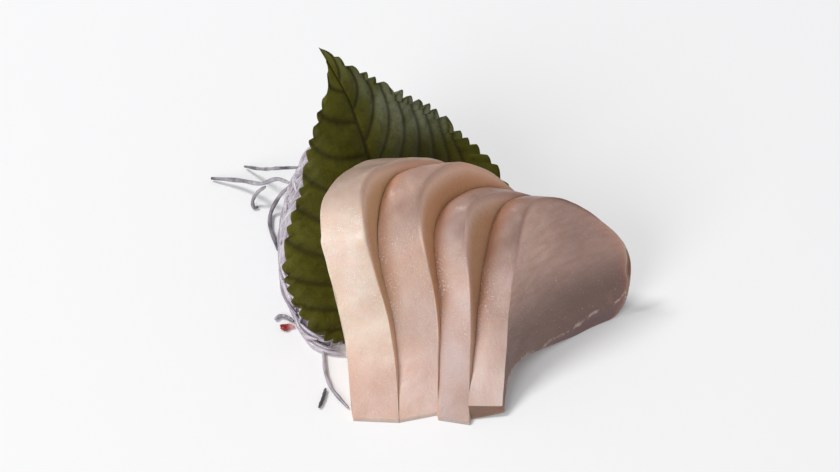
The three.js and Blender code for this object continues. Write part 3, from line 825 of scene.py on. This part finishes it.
# heap of shredded garnish
heapShape = {
    "x": -6.8, "y": 50.0, "halfX": 27.6, "halfY": 33.0, "height": 32.0, "power": 2.4, "slump": 0.42,
    "footLoops": [
        [(-31.6, 34, 1.6), (-30.2, 28.5, 0.8), (-28.4, 24.2, 0.7), (-26.2, 21.0, 0.7), (-22.8, 19.2, 0.7),
         (-18.9, 18.4, 0.7)],
        [(-31.0, 30, 2.6), (-29.4, 25.6, 1.6), (-26.8, 22.6, 1.2), (-23.6, 20.4, 0.8), (-20.6, 19.9, 0.8)],
        [(-32.6, 40, 0.8), (-31.2, 32, 0.7), (-29.2, 26.4, 0.7), (-27.6, 22.8, 1.8), (-25.4, 21.6, 2.4)],
    ],
    # loops round the heap: from and to in degrees, distance out from the heap, height
    "rimLoops": [
        (215, 128, 0.0, 0.8), (205, 118, 0.35, 5.0), (190, 108, 0.1, 10.0), (236, 168, 0.1, 0.8),
        (246, 196, 0.3, 2.2), (180, 112, 0.3, 14.5), (222, 150, 0.5, 2.6), (176, 120, -0.1, 19.0),
        (140, 62, 0.1, 0.8), (104, 10, 0.0, 0.8), (50, -42, 0.1, 0.8), (128, 40, 0.0, 1.8),
        (84, -12, 0.1, 2.0), (34, -46, 0.0, 1.9), (146, 70, 0.1, 3.0), (96, 22, 0.0, 3.3),
        (52, -30, 0.1, 3.1), (118, 48, 0.1, 4.6), (70, -6, 0.1, 4.8), (20, -48, 0.1, 4.4),
        (226, 140, 0.0, 3.6), (214, 126, 0.0, 6.4), (204, 120, 0.0, 8.4),
    ],
    "coreRings": 22, "coreSectors": 96, "coreEdge": 2.2, "coreInset": 1.3,
    "leafGap": 0.95, "shreds": 560, "shredRadius": 0.52, "step": 1.7, "seed": 7,
}
shredColours = {
    "clear": (0.40, 0.345, 0.395),
    "white": (0.60, 0.555, 0.60),
    "lilac": (0.24, 0.195, 0.245),
    # darker colour of the solid core, painted shade between the shreds
    "core": (0.26, 0.225, 0.265),
    "strayLight": (0.42, 0.385, 0.42),
    "strayDark": (0.055, 0.048, 0.062),
    "shader": {"Subsurface Radius": (0.9, 0.8, 1.0), "Subsurface Scale": 0.0015,
               "Coat Weight": 0.3, "Coat Roughness": 0.15},
}


def heapHeight(x, y):
    h = heapShape
    a = np.abs((x - h["x"]) / h["halfX"]) ** h["power"]
    b = np.abs((y - h["y"]) / h["halfY"]) ** h["power"]
    inside = 1 - a - b
    lumps = 1.1 * np.sin(x * 0.42 + 1.3) * np.sin(y * 0.36 + 0.4) + 0.6 * np.sin(x * 0.9 - y * 0.7)
    away = np.maximum(0, (x - h["x"] + 8) / h["halfX"]) + 0.35 * np.maximum(0, (y - h["y"]) / h["halfY"])
    dome = h["height"] * np.maximum(inside, 0) ** (1 / h["power"]) + lumps * np.minimum(1, inside * 4)
    dome = dome * (1 - h["slump"] * away)
    dome = np.where(inside > 0, dome, -5 * (a + b - 1))
    lean = leafShape["lean"]
    behind = h["leafGap"] * np.sqrt(footSlope(x) ** 2 + 1 + lean ** 2) + 0.75
    underLeaf = (y - footLine(x) - behind) / lean
    return np.minimum(dome, underLeaf) - 1.1 * np.exp(-np.abs(dome - underLeaf) / 2.2)


def behindLeaf(p, radius):
    # a shred's point is kept clear of the leaf's rear face
    x, y, z = p
    lean = leafShape["lean"]
    clear = (leafShape["thick"] + radius + 0.45) * math.sqrt(float(footSlope(x)) ** 2 + 1 + lean ** 2)
    return np.array([x, max(y, float(footLine(x)) + lean * z + float(leafWave(x, z)) + clear), z])


def heapNormal(x, y):
    e = 0.15
    dx = (heapHeight(x + e, y) - heapHeight(x - e, y)) / (2 * e)
    dy = (heapHeight(x, y + e) - heapHeight(x, y - e)) / (2 * e)
    n = np.array([-dx, -dy, 1.0])
    return n / np.linalg.norm(n)


def heapReach(angle, tall, steps):
    # how far out from its middle the heap is still at least so tall, found by halving
    low, high = 0.0, 50.0
    for _ in range(steps):
        middle = (low + high) / 2
        x, y = heapPlace(angle, middle)
        low, high = (middle, high) if heapHeight(x, y) > tall else (low, middle)
    return low


def heapPlace(angle, reach):
    return heapShape["x"] + math.cos(angle) * reach, heapShape["y"] + math.sin(angle) * reach


def heapCore(shift):
    rings, sectors = heapShape["coreRings"], heapShape["coreSectors"]
    points, faces = [], []
    for ring in range(rings + 1):
        share = 1 - (1 - ring / rings) ** 1.6
        for s in range(sectors):
            angle = 2 * math.pi * s / sectors
            x, y = heapPlace(angle, heapReach(angle, heapShape["coreEdge"], 26) * share)
            points.append((x, y, max(0.9, float(heapHeight(x, y)) - heapShape["coreInset"])))
    for ring in range(rings):
        for s in range(sectors):
            n = (s + 1) % sectors
            a, b = ring * sectors, (ring + 1) * sectors
            faces.append((a + s, b + s, b + n, a + n))
    base = len(points)
    rim = rings * sectors
    points += [(points[rim + s][0], points[rim + s][1], 0.0) for s in range(sectors)]
    for s in range(sectors):
        n = (s + 1) % sectors
        faces.append((rim + s, base + s, base + n, rim + n))
    faces.append(tuple(base + s for s in range(sectors))[::-1])
    piece = newObject("garnish_core", points, faces, shredMaterial("shredCoreShade", "core"), shift)
    bpy.context.view_layer.objects.active = piece
    welder = piece.modifiers.new("weld", "WELD")
    welder.merge_threshold = 0.00002
    freeze(piece)
    return piece


def shredRoutes():
    rng = np.random.default_rng(heapShape["seed"])
    routes = []
    while len(routes) < heapShape["shreds"]:
        x = rng.uniform(-36, 21)
        y = rng.uniform(16, 84)
        if heapHeight(x, y) < 0.9:
            continue
        heading = rng.uniform(0, 2 * math.pi)
        turn = rng.normal(0, 0.10)
        length = rng.uniform(22, 62)
        lift = rng.uniform(-0.75, 0.25)
        phase = rng.uniform(0, 6.28)
        route, done = [], 0.0
        while done < length:
            n = heapNormal(x, y)
            z = float(heapHeight(x, y))
            waver = 0.28 * math.sin(done * 0.33 + phase)
            p = np.array([x, y, max(z, 0.35)]) + n * (lift + waver)
            p[2] = max(p[2], 0.56)
            route.append(behindLeaf(p, 0.6))
            flat = np.array([math.cos(heading), math.sin(heading)])
            slope = -(n[0] * flat[0] + n[1] * flat[1]) / max(n[2], 0.12)
            go = heapShape["step"] / math.sqrt(1 + slope * slope)
            nx, ny = x + flat[0] * go, y + flat[1] * go
            if heapHeight(nx, ny) < 0.25:
                home = math.atan2(heapShape["y"] - y, heapShape["x"] - x)
                heading = home + rng.uniform(-1.25, 1.25)
                if len(route) > 9 or rng.random() < 0.5:
                    break
                nx, ny = x + math.cos(heading) * 0.6, y + math.sin(heading) * 0.6
            x, y = nx, ny
            done += heapShape["step"]
            turn = turn * 0.93 + rng.normal(0, 0.035)
            heading += turn
        if len(route) > 6:
            routes.append(np.array(route))
    return routes


def rimRoutes():
    # loose loops round the foot, and some that stand off the heap's -X flank
    made = []
    for k, (low, high, out, tall) in enumerate(heapShape["rimLoops"]):
        route = []
        for angle in np.radians(np.linspace(low, high, 34)):
            reach = heapReach(angle, tall, 24) + out + 0.25 * math.sin(angle * 9 + k)
            height = max(0.6, tall + 0.6 * math.sin(angle * 7 + k * 2))
            route.append(behindLeaf((*heapPlace(angle, reach), height), 0.6))
        made.append(np.array(route))
    for loop in heapShape["footLoops"]:
        made.append(smoothPath(loop, 26))
    return made


def tubeTree(name, material):
    # edges become round shreds of the "thickness" stored at each point
    tree = bpy.data.node_groups.new(name, "GeometryNodeTree")
    tree.interface.new_socket("Geometry", in_out="INPUT", socket_type="NodeSocketGeometry")
    width = tree.interface.new_socket("Radius", in_out="INPUT", socket_type="NodeSocketFloat")
    around = tree.interface.new_socket("Sides", in_out="INPUT", socket_type="NodeSocketInt")
    tree.interface.new_socket("Geometry", in_out="OUTPUT", socket_type="NodeSocketGeometry")
    enter, leave = tree.nodes.new("NodeGroupInput"), tree.nodes.new("NodeGroupOutput")
    toCurve = tree.nodes.new("GeometryNodeMeshToCurve")
    setRadius = tree.nodes.new("GeometryNodeSetCurveRadius")
    thickness = tree.nodes.new("GeometryNodeInputNamedAttribute")
    thickness.data_type = "FLOAT"
    thickness.inputs["Name"].default_value = "thickness"
    ring = tree.nodes.new("GeometryNodeCurvePrimitiveCircle")
    sweep = tree.nodes.new("GeometryNodeCurveToMesh")
    sweep.inputs["Fill Caps"].default_value = True
    realize = tree.nodes.new("GeometryNodeRealizeInstances")
    paint = tree.nodes.new("GeometryNodeSetMaterial")
    paint.inputs["Material"].default_value = material
    join = tree.links.new
    join(enter.outputs["Geometry"], toCurve.inputs[0])
    join(toCurve.outputs[0], setRadius.inputs["Curve"])
    join(thickness.outputs["Attribute"], setRadius.inputs["Radius"])
    join(enter.outputs["Radius"], ring.inputs["Radius"])
    join(enter.outputs["Sides"], ring.inputs["Resolution"])
    join(setRadius.outputs[0], sweep.inputs["Curve"])
    join(ring.outputs["Curve"], sweep.inputs["Profile Curve"])
    if "Scale" in sweep.inputs:
        join(thickness.outputs["Attribute"], sweep.inputs["Scale"])
    join(sweep.outputs[0], realize.inputs[0])
    join(realize.outputs[0], paint.inputs[0])
    join(paint.outputs[0], leave.inputs[0])
    return tree, width.identifier, around.identifier


def shredPiece(name, routes, radius, sides, material, shift, ends=0.45, seed=3, darkness=None):
    rng = np.random.default_rng(seed)
    points, edges, thick, tone, along = [], [], [], [], []
    for route in routes:
        base = len(points)
        size = rng.uniform(0.75, 1.12)
        shade = rng.uniform(0, 1) if darkness is None else darkness
        count = len(route)
        for i, p in enumerate(route):
            t = i / (count - 1)
            taper = min(1, ends + (1 - ends) * min(t, 1 - t) * 7)
            points.append(p)
            thick.append(size * taper * (1 + 0.10 * math.sin(i * 0.8 + base)))
            tone.append(shade)
            along.append(t)
            if i:
                edges.append((base + i - 1, base + i))
    mesh = bpy.data.meshes.new(name)
    mesh.from_pydata((np.array(points) * mm + shift).tolist(), edges, [])
    piece = bpy.data.objects.new(name, mesh)
    bpy.context.scene.collection.objects.link(piece)
    addValues(piece, "thickness", thick)
    addValues(piece, "tone", tone)
    addValues(piece, "alongShred", along)
    tree, width, around = tubeTree(name + "_tubes", material)
    maker = piece.modifiers.new("tubes", "NODES")
    maker.node_group = tree
    maker[width] = radius * mm
    maker[around] = sides
    freeze(piece)
    for poly in piece.data.polygons:
        poly.use_smooth = True
    if not piece.data.materials:
        piece.data.materials.append(material)
    print(name, len(piece.data.polygons), "faces")
    return piece


def shredMaterial(name, kind):
    material, tree, shader = newMaterial(name)
    place, tone, along = objectPlace(tree), value(tree, "tone"), value(tree, "alongShred")
    cloud = noise(tree, place, 240, 3, 0.6)
    clouded = spread(tree, cloud, 0.35, 0.68)
    if kind == "heap":
        colour = blendColours(tree, clouded, shredColours["clear"], shredColours["white"])
        colour = overlay(tree, colour, shredColours["lilac"], spread(tree, tone, 0.55, 1.0), 0.75)
    # the solid core is painted darker, as shade in the gaps between shreds
    elif kind == "core":
        colour = blendColours(tree, clouded, shredColours["core"], shredColours["lilac"])
    else:
        # darker along the shred and in patches
        dark = maths(tree, "ADD", times(tree, along, 0.65), maths(tree, "SUBTRACT", tone, 0.5))
        dark = maths(tree, "ADD", dark, times(tree, maths(tree, "SUBTRACT", cloud, 0.48), 2.6), True)
        colour = blendColours(tree, dark, shredColours["strayLight"], shredColours["strayDark"])
    link(tree, colour, shader.inputs["Base Color"])
    link(tree, spread(tree, cloud, 0.3, 0.7, 0.22, 0.42), shader.inputs["Roughness"])
    bump(tree, shader, [(noise(tree, place, 1300, 3, 0.6), 0.00015, 0.3)])
    setSockets(shader, shredColours["shader"])
    shader.inputs["Subsurface Weight"].default_value = 0.30 if kind != "stray" else 0.1
    return material


core = heapCore(shift)
shreds = shredPiece("garnish_shreds", shredRoutes() + rimRoutes(), heapShape["shredRadius"], 6,
                    shredMaterial("shredPale", "heap"), shift)
for piece in (core, shreds):
    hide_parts("garnish_heap")
    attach(piece, "root")
print("heap done")

# stray shreds lying loose beside the heap, points in mm
strays = {
    "radius": 0.50, "sides": 12,
    "darkness": [0.85, 0.5, 0.55, 0.55, 0.15, 0.95, 0.6],
    "routes": [
        [(-30.6, 64.4, 15.2), (-35.0, 66.9, 12.6), (-39.8, 73.7, 5.8), (-44.3, 79.8, 0.8)],
        [(-32.6, 60.8, 13.7), (-36.0, 65.5, 10.4), (-39.5, 67.3, 7.2), (-45.1, 72.7, 3.0), (-52.1, 75.7, 0.8)],
        [(-38.7, 67.6, 5.9), (-40.8, 67.6, 3.8), (-41.9, 67.0, 1.4), (-41.5, 65.8, 0.6), (-40.6, 66.1, 0.6)],
        [(-33.2, 65.3, 8.0), (-35.5, 65.6, 4.4), (-37.4, 63.8, 1.2), (-37.5, 59.7, 0.6), (-36.4, 55.4, 0.6),
         (-35.4, 51.8, 0.6)],
        [(-24.2, 20.5, 0.6), (-23.9, 18, 0.6), (-23.5, 13.6, 0.6), (-22.1, 8.6, 0.6), (-19.9, 5, 0.6),
         (-18.2, 2.6, 0.6)],
        [(-23.3, 8.2, 0.6), (-23.8, 5.4, 0.6), (-24.6, 2.6, 0.6)],
        [(-35.3, 29.4, 0.6), (-34.3, 30.5, 0.6), (-32.9, 30.3, 0.6), (-31.1, 28.9, 0.6)],
    ],
}
strayPaint = shredMaterial("shredStray", "stray")
for number, points in enumerate(strays["routes"]):
    piece = shredPiece(f"stray_shred_{number + 1}", [smoothPath(points, 34)], strays["radius"], strays["sides"],
                       strayPaint, shift, 0.6, number + 20, strays["darkness"][number])
    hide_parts(f"thread_{number + 1}")
    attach(piece, "root")
print("strays done")

# one small red flake at the heap's foot
flake = {"x": -32.6, "y": 27.2, "long": 3.3, "wide": 2.0, "high": 1.1, "turn": 4,
         "deep": (0.26, 0.006, 0.006), "pale": (0.74, 0.36, 0.34)}


def makeFlake(shift):
    points, faces = [], []
    rows, around = 14, 24
    for i in range(1, rows):
        angle = math.pi * i / rows
        for k in range(around):
            turn = 2 * math.pi * k / around
            ragged = 1 + 0.16 * math.sin(3 * turn + 1) + 0.10 * math.sin(5 * turn + i * 0.4)
            x = math.sin(angle) * math.cos(turn) * flake["long"] / 2 * ragged
            y = math.sin(angle) * math.sin(turn) * flake["wide"] / 2 * ragged
            z = flake["high"] / 2 * (1 + math.cos(angle)) * (0.85 + 0.15 * math.sin(2 * turn))
            a = math.radians(flake["turn"])
            points.append((flake["x"] + x * math.cos(a) - y * math.sin(a),
                           flake["y"] + x * math.sin(a) + y * math.cos(a), z))
    for i in range(rows - 2):
        for k in range(around):
            n = (k + 1) % around
            faces.append((i * around + k, (i + 1) * around + k, (i + 1) * around + n, i * around + n))
    faces.append(tuple(range(around)))
    faces.append(tuple((rows - 2) * around + k for k in range(around))[::-1])
    material, tree, shader = newMaterial("redFlake")
    place = objectPlace(tree)
    split = tree.nodes.new("ShaderNodeSeparateXYZ")
    link(tree, place, split.inputs[0])
    middle = flake["x"] * mm + shift[0]
    fade = spread(tree, split.outputs[0], middle - 0.0004, middle + 0.0016)
    link(tree, blendColours(tree, fade, flake["deep"], flake["pale"]), shader.inputs["Base Color"])
    link(tree, spread(tree, noise(tree, place, 900, 3), 0.3, 0.7, 0.25, 0.45), shader.inputs["Roughness"])
    bump(tree, shader, [(noise(tree, place, 1600, 3), 0.0002, 0.4)])
    setSockets(shader, {"Subsurface Weight": 0.2, "Subsurface Scale": 0.0006})
    piece = newObject("red_flake", points, faces, material, shift)
    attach(piece, "root")


makeFlake(shift)

# floor, light and camera
view = {"aimX": -2.215, "aimY": 57.0, "distance": 700.0, "elevation": 45.0, "lens": 127.66}
studio = {
    "floor": (0.845, 0.845, 0.847), "floorGlow": 0.075, "sky": 0.365,
    # azimuth, elevation, distance m, size m, power W
    "front": (-34, 32, 2.5, 1.5, 24.5),
    "side": (-106, 56, 2.5, 0.7, 35.0),
}


def makeFloor():
    floor = newObject("floor", [(-3000, -3000, 0), (3000, -3000, 0), (3000, 6000, 0), (-3000, 6000, 0)],
                      [(0, 1, 2, 3)], None)
    material, _, shader = newMaterial("paleFloor")
    setSockets(shader, {"Base Color": (*studio["floor"], 1), "Roughness": 0.7, "Specular IOR Level": 0.2,
                        "Emission Color": (1, 1, 1, 1), "Emission Strength": studio["floorGlow"]})
    floor.data.materials.append(material)
    floor.location.z = -0.00002


def makeLight(name, azimuth, elevation, distance, size, power, aim):
    lamp = bpy.data.lights.new(name, "AREA")
    lamp.shape = "DISK"
    lamp.size = size
    lamp.energy = power
    holder = bpy.data.objects.new(name, lamp)
    a, e = math.radians(azimuth), math.radians(elevation)
    way = Vector((math.sin(a) * math.cos(e), -math.cos(a) * math.cos(e), math.sin(e)))
    holder.location = aim + way * distance
    holder.rotation_euler = way.to_track_quat("Z", "Y").to_euler()
    bpy.context.scene.collection.objects.link(holder)


def makeCamera(shift):
    camera = bpy.data.cameras.new("camera")
    camera.lens = view["lens"]
    camera.sensor_width = 36
    camera.clip_start = 0.01
    holder = bpy.data.objects.new("camera", camera)
    e = math.radians(view["elevation"])
    aim = Vector((view["aimX"] * mm + shift[0], view["aimY"] * mm + shift[1], 0))
    way = Vector((0, -math.cos(e), math.sin(e)))
    holder.location = aim + way * view["distance"] * mm
    holder.rotation_euler = way.to_track_quat("Z", "Y").to_euler()
    bpy.context.scene.collection.objects.link(holder)
    bpy.context.scene.camera = holder
    return aim


makeFloor()
aim = makeCamera(shift)
centre = Vector((0, 0, 0.02))
for name in ("front", "side"):
    makeLight(name, *studio[name], centre)
world = bpy.data.worlds.new("studio")
bpy.context.scene.world = world
world.use_nodes = True
world.node_tree.nodes["Background"].inputs[0].default_value = (0.97, 0.98, 1.0, 1)
world.node_tree.nodes["Background"].inputs[1].default_value = studio["sky"]
bpy.context.scene.view_settings.view_transform = "Standard"
